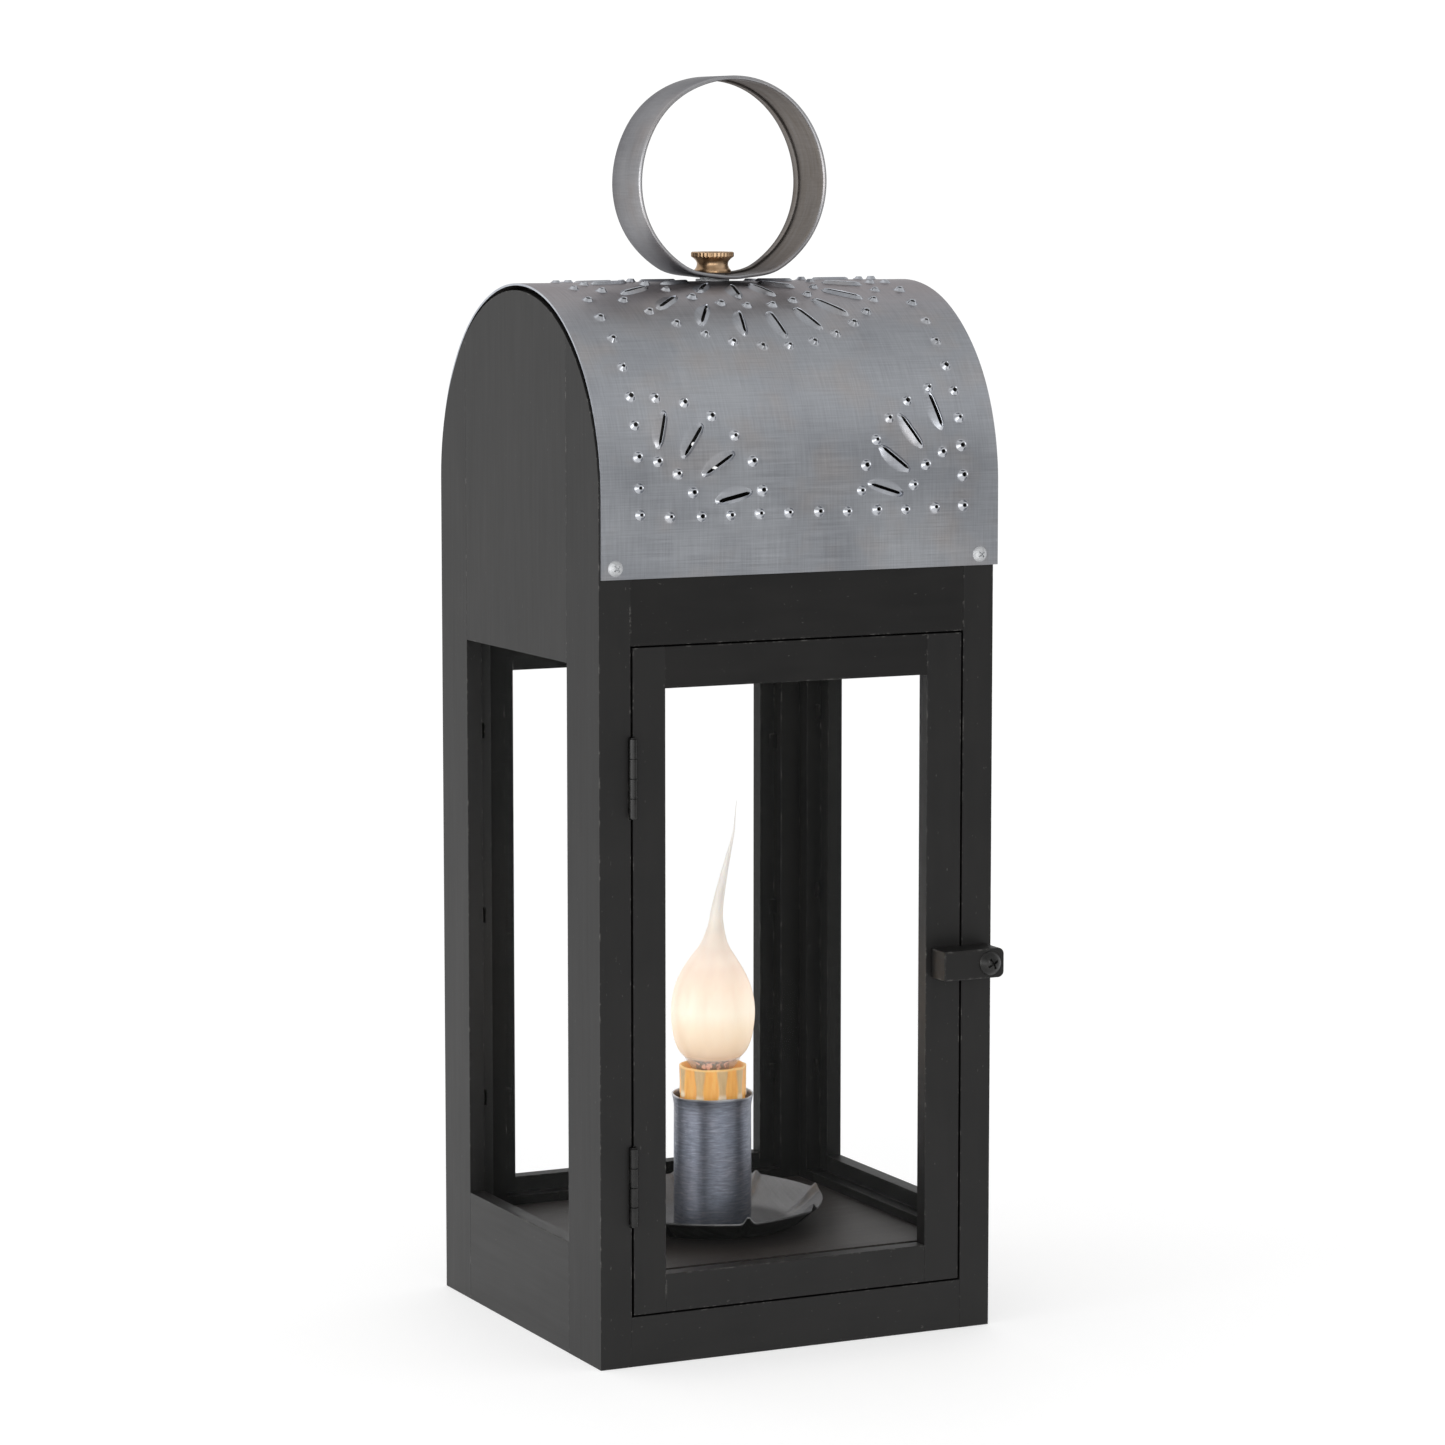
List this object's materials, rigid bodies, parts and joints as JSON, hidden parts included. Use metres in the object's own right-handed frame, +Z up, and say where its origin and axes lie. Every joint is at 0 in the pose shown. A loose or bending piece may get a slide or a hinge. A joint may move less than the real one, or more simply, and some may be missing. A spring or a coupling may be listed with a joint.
{
  "type": "candle lantern",
  "caption": "Tall wooden candle lantern with glazed sides and door, arched punched tin roof, strap ring handle and an electric flame candle on a drip pan.",
  "frame": {"origin": "centre of the wooden case's footprint, on the surface the lantern stands on; the candle and the ring's stud are on the Z axis", "axes": "+X to the right when facing the door, +Y towards the back, +Z up; the door faces -Y"},
  "size_m": [0.1665, 0.1673, 0.4815],
  "materials": {
    "black_paint": "satin black paint over wood, lightly worn at the edges",
    "window_glass": "clear 2 mm glass",
    "zinc_steel": "zinc plated",
    "black_iron": "black lacquer",
    "brushed_tin": "aged brushed tin",
    "tube_tin": "dark brushed tin",
    "aged_brass": "antique brass",
    "amber_sleeve": "amber wax-like sleeve with drips",
    "socket_black": "moulded black",
    "copper": "bare copper alloy",
    "bulb_brass": "bright rolled brass",
    "bulb_glass": "clear blown glass",
    "silicone_flame": "translucent frosted silicone"
  },
  "bodies": {
    "case": {"left_front_stile": "black_paint", "left_rear_stile": "black_paint", "left_gable_panel": "black_paint", "left_bottom_rail": "black_paint", "right_front_stile": "black_paint", "right_rear_stile": "black_paint", "right_gable_panel": "black_paint", "right_bottom_rail": "black_paint", "front_top_rail": "black_paint", "front_bottom_rail": "black_paint", "back_left_stile": "black_paint", "back_right_stile": "black_paint", "back_top_rail": "black_paint", "back_bottom_rail": "black_paint", "floor_board": "black_paint", "left_glass": "window_glass", "right_glass": "window_glass", "back_glass": "window_glass", "left_glass_points": "zinc_steel", "right_glass_points": "zinc_steel", "back_glass_points": "zinc_steel", "upper_hinge_frame_leaf": "black_iron", "upper_hinge_pin": "black_iron", "lower_hinge_frame_leaf": "black_iron", "lower_hinge_pin": "black_iron", "hinge_frame_screws": "black_iron", "turn_button_screw": "black_iron", "roof_sheet": "brushed_tin", "roof_screws": "zinc_steel", "handle_stud": "zinc_steel", "ring_washer": "brushed_tin", "stud_washer": "zinc_steel", "stud_hex_nut": "zinc_steel", "candle_pan": "brushed_tin", "candle_tube": "tube_tin", "candle_sleeve": "amber_sleeve", "lamp_nipple": "zinc_steel", "nipple_locknuts": "zinc_steel", "nipple_washer": "zinc_steel", "lamp_socket": "socket_black", "socket_shell": "copper", "socket_contact": "copper", "cord_bushing": "socket_black"},
    "door": {"door_hinge_stile": "black_paint", "door_latch_stile": "black_paint", "door_top_rail": "black_paint", "door_bottom_rail": "black_paint", "door_glass": "window_glass", "door_glass_points": "zinc_steel", "upper_hinge_door_leaf": "black_iron", "lower_hinge_door_leaf": "black_iron", "hinge_door_screws": "black_iron"},
    "turn_button": {"turn_button": "black_paint"},
    "ring_handle": {"ring_handle": "brushed_tin"},
    "thumb_nut": {"thumb_nut": "aged_brass"},
    "bulb": {"bulb_base": "bulb_brass", "bulb_glass": "bulb_glass", "bulb_flame_skin": "silicone_flame", "bulb_filament": "bulb_glass"}
  },
  "joints": [
    {"name": "door_swing", "type": "hinge", "parent": "case", "child": "door", "pos_m": [-0.0693, -0.07645, 0.145], "axis": [0, 0, -1], "range_deg": [0, 170]},
    {"name": "button_turn", "type": "hinge", "parent": "case", "child": "turn_button", "pos_m": [0.07615, -0.07525, 0.1442], "axis": [0, 1, 0], "continuous": true},
    {"name": "ring_swivel", "type": "hinge", "parent": "case", "child": "ring_handle", "pos_m": [0, 0, 0.4037], "axis": [0, 0, 1], "continuous": true},
    {"name": "nut_turn", "type": "hinge", "parent": "case", "child": "thumb_nut", "pos_m": [0, 0, 0.409], "axis": [0, 0, 1], "continuous": true},
    {"name": "bulb_lift", "type": "slide", "parent": "case", "child": "bulb", "axis": [0, 0, 1], "range_m": [0, 0.05]}
  ]
}
